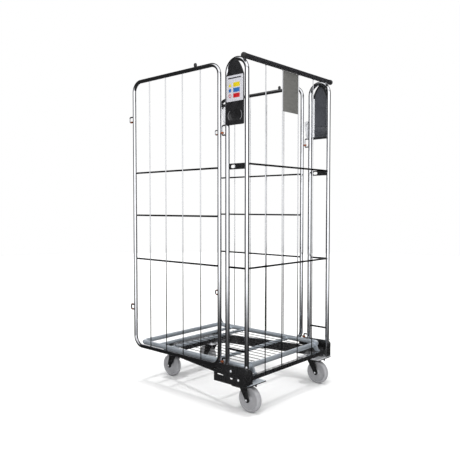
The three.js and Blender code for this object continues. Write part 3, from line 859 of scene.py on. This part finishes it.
def rod_loop(name, node, body):
    """U-shaped loop of round rod in the Y-Z plane, opening towards -Y."""
    low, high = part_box(node)
    x = (low.x + high.x) / 2
    z0, z1 = low.z + LOOP_FLAT, high.z - LOOP_FLAT
    y1 = high.y - LOOP_FLAT
    corners = [(x, low.y, z0), (x, y1, z0), (x, y1, z1), (x, low.y, z1)]
    collar = in_mm((0, 0), (0, 5.0), (0.8, 4.6), (1.5, 4.0), (1.5, 0))
    bm = bmesh.new()
    add_tube(bm, bent_path(corners, LOOP_BEND, 8), LOOP_FLAT, 24)
    for z in (z0, z1):
        add_turned(bm, collar, (x, low.y, z), (0, 1, 0), 20)
    # The lower loops take the zinc painted nearly black, a painted dark reflection; the upper
    # ones stay bright.
    dress(finish_mesh(bm, name), ROD_ZINC_PAINTED_DARK if "lower" in node else ZINC, body,
          (node,))
    return x, y1, z0, z1


def build_hinge_staple(tag, level):
    rod_loop(f"staple_{level}_{tag}", f"hinge_staple_{level}_{tag}", "frame")


def build_drop_bolt_guide(tag):
    dress(soften(f"bolt_guide_{tag}", 0.8 * MM), BLADE_ZINC)


# -------- gates
def build_gate(tag, side):
    body = f"gate_{tag}_leaf"
    x = side * GATE_X
    bm = bmesh.new()
    corners = [(x, GATE_Y[0], GATE_Z[0]), (x, GATE_Y[0], GATE_Z[1]), (x, GATE_Y[1], GATE_Z[1]),
               (x, GATE_Y[1], GATE_Z[0])]
    add_tube(bm, bent_path(corners, GATE_BEND, 12, closed=True), GATE_R, 36, closed=True)
    dress(finish_mesh(bm, f"gate_tube_{tag}"), ZINC, body, (f"gate_{tag}",))
    bm = bmesh.new()
    rod_x = side * (GATE_X - WIRE_R - CROSS_ROD_R + MM)
    for z in GATE_RODS:
        add_bar(bm, (rod_x, GATE_Y[0] + 4 * MM, z), (rod_x, GATE_Y[1] - 4 * MM, z), CROSS_ROD_R,
                20)
    dress(finish_mesh(bm, f"gate_rods_{tag}"), ROD_ZINC_PAINTED_DARK, body)
    build_gate_wires(tag, side, x, rod_x, body)
    build_peg(tag, body)
    for level in LEVELS:
        loop = rod_loop(f"keeper_{level}_{tag}", f"gate_keeper_{level}_{tag}", body)
        build_tips(f"keeper_tips_{level}_{tag}", *loop, body, both=level == "lower")
        build_eye(tag, level, body)


def build_gate_wires(tag, side, x, rod_x, body):
    """Upright wires with the welds of a gate."""
    pitch = (GATE_Y[1] - GATE_Y[0]) / (GATE_WIRES + 1)
    wires = [GATE_Y[0] + pitch * (i + 1) for i in range(GATE_WIRES)]
    bm = bmesh.new()
    for z in GATE_RODS:
        for y, inward in ((GATE_Y[0], 1), (GATE_Y[1], -1)):
            place = (rod_x + side * MM, y + inward * 8.6 * MM, z)
            add_weld(bm, place, 4.6 * MM, (0, 1, 0), 1.4, z * 10)
        for y in wires:
            add_weld(bm, (x - side * 2.6 * MM, y, z), 2.8 * MM, (1, 0, 0), 1.3, y * 100 + z)
    for y in wires:
        add_bar(bm, (x, y, GATE_Z[0] + 5 * MM), (x, y, GATE_Z[1] - 5 * MM), WIRE_R, 16)
        for z in (GATE_Z[0] + 9.4 * MM, GATE_Z[1] - 9.4 * MM):
            add_weld(bm, (x, y, z), 3.4 * MM, (0, 0, 1), 1.4, y * 31)
    dress(finish_mesh(bm, f"gate_wires_{tag}"), WIRE_ZINC, body)


def build_peg(tag, body):
    """Rounded plastic peg on the top tube of a gate."""
    low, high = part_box(f"gate_peg_{tag}")
    centre = (low + high) / 2
    profile = rounded(in_mm((0, 0), (0, 8), (12, 8), (17, 5.5)) + [(high.z - low.z, 0)], 2 * MM)
    bm = bmesh.new()
    add_turned(bm, profile, (centre.x, centre.y, low.z), (0, 0, 1), 32)
    peg = finish_mesh(bm, f"peg_{tag}", 60)
    dress(peg, BLACK_PLASTIC, body, (f"gate_peg_{tag}",))


def build_tips(name, x, y, z0, z1, body, both):
    """Copper-coloured sleeves: short ones on both legs of a keeper loop, or one long one."""
    length = 11 if both else 19
    sleeve = rounded(in_mm((0, 4.1), (0, 4.9), (length, 4.9), (length, 4.1)), 0.3 * MM, 2)
    bm = bmesh.new()
    for z in (z0, z1) if both else (z0,):
        add_turned(bm, sleeve, (x, y - 7 * MM - length * MM, z), (0, 1, 0), 24)
    dress(finish_mesh(bm, name, 50), COPPER, body)


def build_eye(tag, level, body):
    """Hinge eye: a bush with rounded edges and a lug to the gate tube."""
    node = f"gate_eye_{level}_{tag}"
    low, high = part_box(node)
    axis = joint_place(f"gate_{tag}_swing")
    height = high.z - low.z
    edge = 1.2 * MM
    profile = [(0, EYE_BORE), (0, EYE_R - edge), (edge, EYE_R), (height - edge, EYE_R),
               (height, EYE_R - edge), (height, EYE_BORE)]
    bm = bmesh.new()
    add_turned(bm, profile, (axis.x, axis.y, low.z), (0, 0, 1), 36)
    bush = finish_mesh(bm, f"eye_bush_{level}_{tag}", 40)
    dress(bush, COPPER, body, (node,))
    lug = plate(f"eye_lug_{level}_{tag}",
                rectangle((axis.y + 6 * MM, high.y), (low.z + MM, high.z - MM), 1.5 * MM), [],
                8 * MM, upright(axis.x), 1.0 * MM)
    dress(lug, ZINC, body)


def build_drop_bolt(tag, side):
    body = f"drop_bolt_{tag}_slider"
    low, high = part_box(f"drop_bolt_{tag}")
    blade = [(low.y, low.z), (BLADE_STEP[0][0], low.z), *BLADE_STEP, (high.y, high.z),
             (low.y, high.z)]
    bar = plate(f"bolt_bar_{tag}", blade, [], high.x - low.x, upright((low.x + high.x) / 2),
                1.0 * MM, 3)
    dress(bar, BLADE_ZINC, body, (f"drop_bolt_{tag}",))
    low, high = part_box(f"bolt_hook_{tag}")
    hook = plate(f"bolt_finger_{tag}", smooth_loop(HOOK), [], high.x - low.x,
                 upright((low.x + high.x) / 2), 1.6 * MM, 4)
    dress(hook, (BLACK_PLASTIC, BLADE_ZINC), body, (f"bolt_hook_{tag}",))
    second_material(hook, (-side, 0, 0), 0.3)


def smooth_loop(points, rounds=2):
    """Cuts the corners of a closed outline, so that it reads as a moulded edge."""
    for _ in range(rounds):
        cut = []
        for (ax, ay), (bx, by) in zip(points, points[1:] + points[:1]):
            cut.append((ax * 0.8 + bx * 0.2, ay * 0.8 + by * 0.2))
            cut.append((ax * 0.2 + bx * 0.8, ay * 0.2 + by * 0.8))
        points = cut
    return points


# -------- deck
def build_deck():
    bm = bmesh.new()
    corners = [(-DECK_X, DECK_Y[0], DECK_Z), (-DECK_X, DECK_Y[1], DECK_Z),
               (DECK_X, DECK_Y[1], DECK_Z), (DECK_X, DECK_Y[0], DECK_Z)]
    add_tube(bm, bent_path(corners, DECK_BEND, 12, closed=True), DECK_R, 36, closed=True)
    reach = DECK_X - 5 * MM
    collar = in_mm((0, 0), (0, 12), (2, 11.4), (4, 9.2), (4, 0))
    for y in DECK_BARS_Y:
        add_bar(bm, (-reach, y, DECK_BAR_Z), (reach, y, DECK_BAR_Z), DECK_BAR_R, 28)
        for _, side in SIDES:
            add_turned(bm, collar, (side * (DECK_X - 11 * MM), y, DECK_BAR_Z), (-side, 0, 0), 24)
    dress(finish_mesh(bm, "deck_tubes"), GALVANISED, "deck_leaf", ("deck",))
    bm = bmesh.new()
    wire_z = DECK_BAR_Z + DECK_BAR_R + DECK_WIRE_R - 0.8 * MM
    for i in range(DECK_WIRES):
        x = (i - DECK_WIRES // 2) * DECK_PITCH * MM
        add_bar(bm, (x, DECK_Y[0] + 5 * MM, wire_z), (x, DECK_BARS_Y[1] + 4 * MM, wire_z),
                DECK_WIRE_R, 14, round_end=1.0 * MM)
        add_weld(bm, (x, DECK_Y[0] + 11.6 * MM, wire_z), 2.4 * MM, (0, 1, 0), 1.4, i)
        for y in DECK_BARS_Y[:2]:
            add_weld(bm, (x, y, wire_z - 1.2 * MM), 2.4 * MM, (0, 0, 1), 1.5, i + y)
    dress(finish_mesh(bm, "deck_wires"), ROD_ZINC_PAINTED_DARK, "deck_leaf")


def build_saddle(tag):
    dress(soften(f"deck_saddle_{tag}", 0.8 * MM), GALVANISED)


# -------- castors
def build_castor(tag):
    pin = joint_place(f"castor_{tag}_swivel")
    hub = joint_place(f"castor_{tag}_roll")
    build_fork(tag, pin, hub)
    build_axle(tag, hub)
    build_wheel(tag, hub)


def build_fork(tag, pin, hub):
    """Two pressed legs that taper from the crown to a round end, the crown and swivel head."""
    swivel = f"castor_{tag}"
    trail = math.copysign(1, hub.y - pin.y)
    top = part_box(f"fork_{tag}")[1].z
    back = pin.y - trail * 22 * MM
    far = hub.y - trail * 2 * MM
    low, high = CROWN_Z
    outline = [(back, high - 4 * MM), (back + trail * 3 * MM, high), (far - trail * 3 * MM, high),
               (far, high - 4 * MM)]
    for i in range(17):
        a = math.pi * i / 16
        outline.append((hub.y + trail * LEG_END_R * math.cos(a),
                        hub.z - LEG_END_R * math.sin(a)))
    for side, name in ((-1, "inner"), (1, "outer")):
        leg = plate(f"fork_leg_{tag}_{name}", outline,
                    [oval(hub.y, hub.z, 11.4 * MM, 11.4 * MM, 28)], LEG_THICK,
                    upright(pin.x + side * LEG_X), 0.9 * MM, 3)
        dress(leg, BLACK_STEEL, swivel,
              (f"fork_{tag}",) if side > 0 else ())
    bm = bmesh.new()
    ends = sorted((back, far))
    made = bmesh.ops.create_cube(bm, size=1.0)
    for vert in made["verts"]:
        vert.co = Vector((pin.x + vert.co.x * 44 * MM,
                          (ends[0] + ends[1]) / 2 + vert.co.y * (ends[1] - ends[0]),
                          (low + high) / 2 + vert.co.z * (high - low)))
    bmesh.ops.bevel(bm, geom=bm.edges, offset=1.2 * MM, segments=3, affect="EDGES")
    head = [(high + a * MM, r * MM) for a, r in HEAD_LOWER]
    head += [(top - 0.4 * MM, 27.5 * MM), (top, 26 * MM), (top, 0)]
    add_turned(bm, head, (pin.x, pin.y, 0), (0, 0, 1), 48)
    crown = finish_mesh(bm, f"fork_crown_{tag}", 40)
    dress(crown, BLACK_STEEL, swivel)


def build_axle(tag, hub):
    """Axle bolt with a washer and a hexagon at both ends, and pale tips that are painted
    highlights.
    """
    swivel = f"castor_{tag}"
    bm = bmesh.new()
    add_turned(bm, [(-AXLE_REACH, 0), (-AXLE_REACH, 5 * MM), (AXLE_REACH, 5 * MM),
                    (AXLE_REACH, 0)], hub, (1, 0, 0), 28)
    for _, side in SIDES:
        hex_head(bm, hub + Vector((side * AXLE_REACH, 0, 0)), (side, 0, 0), 13.6 * MM, 3.4 * MM,
                 washer=8.8 * MM)
    bolt = finish_mesh(bm, f"axle_bolt_{tag}", 30)
    dress(bolt, ROD_ZINC_PAINTED_DARK, swivel, (f"axle_{tag}",))
    # Pale tips on the bolt ends: painted highlights.
    tip = in_mm((0, 0), (0, 4.6), (0.5, 4.2), (0.7, 0))
    bm = bmesh.new()
    for _, side in SIDES:
        add_turned(bm, tip, hub + Vector((side * (AXLE_REACH + 6.6 * MM), 0, 0)), (side, 0, 0),
                   24)
    dress(finish_mesh(bm, f"axle_highlights_{tag}", 40), BLADE_ZINC, swivel)


def build_wheel(tag, hub):
    """Crowned tread, flat side faces with a shallow groove, and a proud hub."""
    r = hub.z
    half = [(6.5 * MM, r), (12 * MM, r - 1.6 * MM), (15.2 * MM, r - 4.8 * MM),
            (16 * MM, r - 8 * MM), (16 * MM, r - 12.5 * MM), (10.6 * MM, r - 16 * MM)]
    half += in_mm((10.2, 26), (10.6, 19), (18.4, 15), (19, 13), (19, 5.4))
    profile = rounded([(-a, b) for a, b in reversed(half)] + half, 1.4 * MM, 4)
    bm = bmesh.new()
    add_turned(bm, profile, hub, (1, 0, 0), 72)
    for face in bm.faces:
        centre = face.calc_center_median() - hub
        face.material_index = 1 if math.hypot(centre.y, centre.z) > r - TREAD_DEPTH else 0
    wheel = finish_mesh(bm, f"wheel_body_{tag}", 40)
    dress(wheel, (WHEEL_FACE, WHEEL_TREAD), f"castor_{tag}_wheel", (f"wheel_{tag}",))


# -------- build everything
for tag, side in SIDES:
    build_arch(tag, side)
    build_panel(tag, side)
    build_corner_plate(tag, side)
    build_gate(tag, side)
    build_drop_bolt(tag, side)
    build_drop_bolt_guide(tag)
    build_saddle(tag)
    for level in LEVELS:
        build_hinge_staple(tag, level)
    for node, width in ((f"side_rail_{tag}", 2.4 * MM), (f"slot_plate_{tag}", 0.7 * MM)):
        dress(soften(node, width), BLACK_STEEL)
    for end in ("rear", "front"):
        # The top faces of the black castor plates are pale zinc on the right and galvanised on
        # the left: a painted reflection, brighter on the right.
        piece = dress(soften(f"castor_plate_{end}_{tag}", 0.8 * MM),
                      (BLACK_STEEL, BLADE_ZINC if side > 0 else GALVANISED))
        second_material(piece, (0, 0, 1), 0.9)
    dress(soften(f"deck_buffer_{tag}", 1.5 * MM), RUBBER)
for node in ("rear_crossbeam", "front_crossmember"):
    dress(soften(node, 1.6 * MM), BLACK_STEEL)
build_sign()
build_push_bar()
build_rear_grille()
build_label_plate()
build_castor_plate_bolts()
build_deck()
for tag in CASTORS:
    build_castor(tag)


# -------- camera, light and floor
CAMERA_PLACE = (-2.3293, -2.0644, 0.9824)
CAMERA_HEADING = 48.3676        # degrees clockwise from +Y
CAMERA_TILT = 2.3281            # degrees below the horizon
CAMERA_LENS = 43.417

# What is reflected: brightness over the part of a direction that points away from the viewer,
# and over its upward part.
NEAR_WALL = (((-1, 1), (-0.8, 1), (-0.45, 0), (1, 0)),
             ((-1, 0.01), (-0.3, 0.015), (-0.255, 0.035), (-0.22, 0.125), (-0.18, 0.42),
              (-0.145, 0.8), (-0.13, 0.9), (0.05, 1), (0.33, 1), (0.45, 0.35), (0.62, 0.3),
              (0.85, 0.2), (1, 0.1)))
FAR_WALL = (((-1, 0), (0.78, 0), (0.93, 1), (1, 1)),
            ((-1, 0), (-0.05, 0.02), (0.02, 1), (0.34, 0.9), (0.5, 0.25), (0.75, 0.05), (1, 0)))
CEILING = (((-1, 1), (-0.15, 1), (0.08, 0), (1, 0)), ((-1, 0), (0.42, 0), (0.58, 0.7), (1, 0.7)))
LEAST_GLOW = 0.014
GLOW_STRENGTH = 1.5


def build_camera():
    data = bpy.data.cameras.new("camera")
    data.sensor_width = 36
    data.lens = CAMERA_LENS
    camera = bpy.data.objects.new("camera", data)
    camera.location = CAMERA_PLACE
    camera.rotation_euler = (math.radians(90 - CAMERA_TILT), 0, math.radians(-CAMERA_HEADING))
    bpy.context.scene.collection.objects.link(camera)
    bpy.context.scene.camera = camera


def profile(tree, source, stops):
    """A smooth curve of brightness over a direction component from -1 to 1."""
    shift = add_node(tree, "MapRange", **{"From Min": -1.0})
    tree.links.new(source, shift.inputs["Value"])
    ramp = add_node(tree, "ValToRGB")
    elements = ramp.color_ramp.elements
    for place, _ in stops[1:-1]:
        elements.new((place + 1) / 2)
    for element, (_, value) in zip(elements, stops):
        element.color = (value, value, value, 1)
    tree.links.new(shift.outputs["Result"], ramp.inputs["Fac"])
    return ramp.outputs["Color"]


def combine(tree, operation, first, second):
    node = add_node(tree, "Math", operation=operation)
    for socket, value in zip(node.inputs, (first, second)):
        if isinstance(value, float):
            socket.default_value = value
        else:
            tree.links.new(value, socket)
    return node.outputs["Value"]


def build_world():
    """White to the eye. In reflections: a bright wall behind the viewer, another behind the cage
    and a bright ceiling on the viewer's side, with dark sides and a dark floor."""
    world = bpy.data.worlds.new("studio")
    world.use_nodes = True
    tree = world.node_tree
    tree.nodes.clear()
    direction = add_node(tree, "TexCoord").outputs["Generated"]
    split = add_node(tree, "SeparateXYZ")
    tree.links.new(direction, split.inputs["Vector"])
    heading = math.radians(CAMERA_HEADING)
    ahead = add_node(tree, "VectorMath", operation="DOT_PRODUCT")
    tree.links.new(direction, ahead.inputs[0])
    ahead.inputs[1].default_value = (math.sin(heading), math.cos(heading), 0)
    near, far, above = [combine(tree, "MULTIPLY", profile(tree, ahead.outputs["Value"], away),
                                profile(tree, split.outputs["Z"], up))
                        for away, up in (NEAR_WALL, FAR_WALL, CEILING)]
    total = combine(tree, "ADD", combine(tree, "ADD", near, far),
                    combine(tree, "ADD", above, LEAST_GLOW))
    glow = add_node(tree, "Background", Strength=GLOW_STRENGTH)
    tree.links.new(total, glow.inputs["Color"])
    plain = add_node(tree, "Background", Strength=1.0, Color=(1, 1, 1, 1))
    path = add_node(tree, "LightPath")
    mix = add_node(tree, "MixShader")
    tree.links.new(path.outputs["Is Camera Ray"], mix.inputs["Fac"])
    tree.links.new(glow.outputs["Background"], mix.inputs[1])
    tree.links.new(plain.outputs["Background"], mix.inputs[2])
    out = add_node(tree, "OutputWorld")
    tree.links.new(mix.outputs["Shader"], out.inputs["Surface"])
    bpy.context.scene.world = world


def build_sun(name, strength, spread_angle):
    """Soft light from straight above, kept out of the reflections."""
    data = bpy.data.lights.new(name, "SUN")
    data.energy = strength
    data.angle = math.radians(spread_angle)
    lamp = bpy.data.objects.new(name, data)
    lamp.visible_glossy = False
    bpy.context.scene.collection.objects.link(lamp)


def build_floor():
    bm = bmesh.new()
    bmesh.ops.create_circle(bm, cap_ends=True, segments=96, radius=9.0)
    floor = finish_mesh(bm, "studio_floor")
    floor.location.z = -0.4 * MM
    material, tree, shader = new_material("pale_floor")
    tree.links.new(mottled(tree, (0.90, 0.90, 0.90), (0.915, 0.915, 0.915), 2.0),
                   shader.inputs["Base Color"])
    shader.inputs["Roughness"].default_value = 0.9
    shader.inputs["Specular IOR Level"].default_value = 0.1
    floor.data.materials.append(material)
    floor.visible_glossy = False


build_camera()
build_world()
build_floor()
build_sun("key", 1.0, 7)
build_sun("dome", 1.8, 120)
bpy.context.scene.view_settings.view_transform = "Standard"
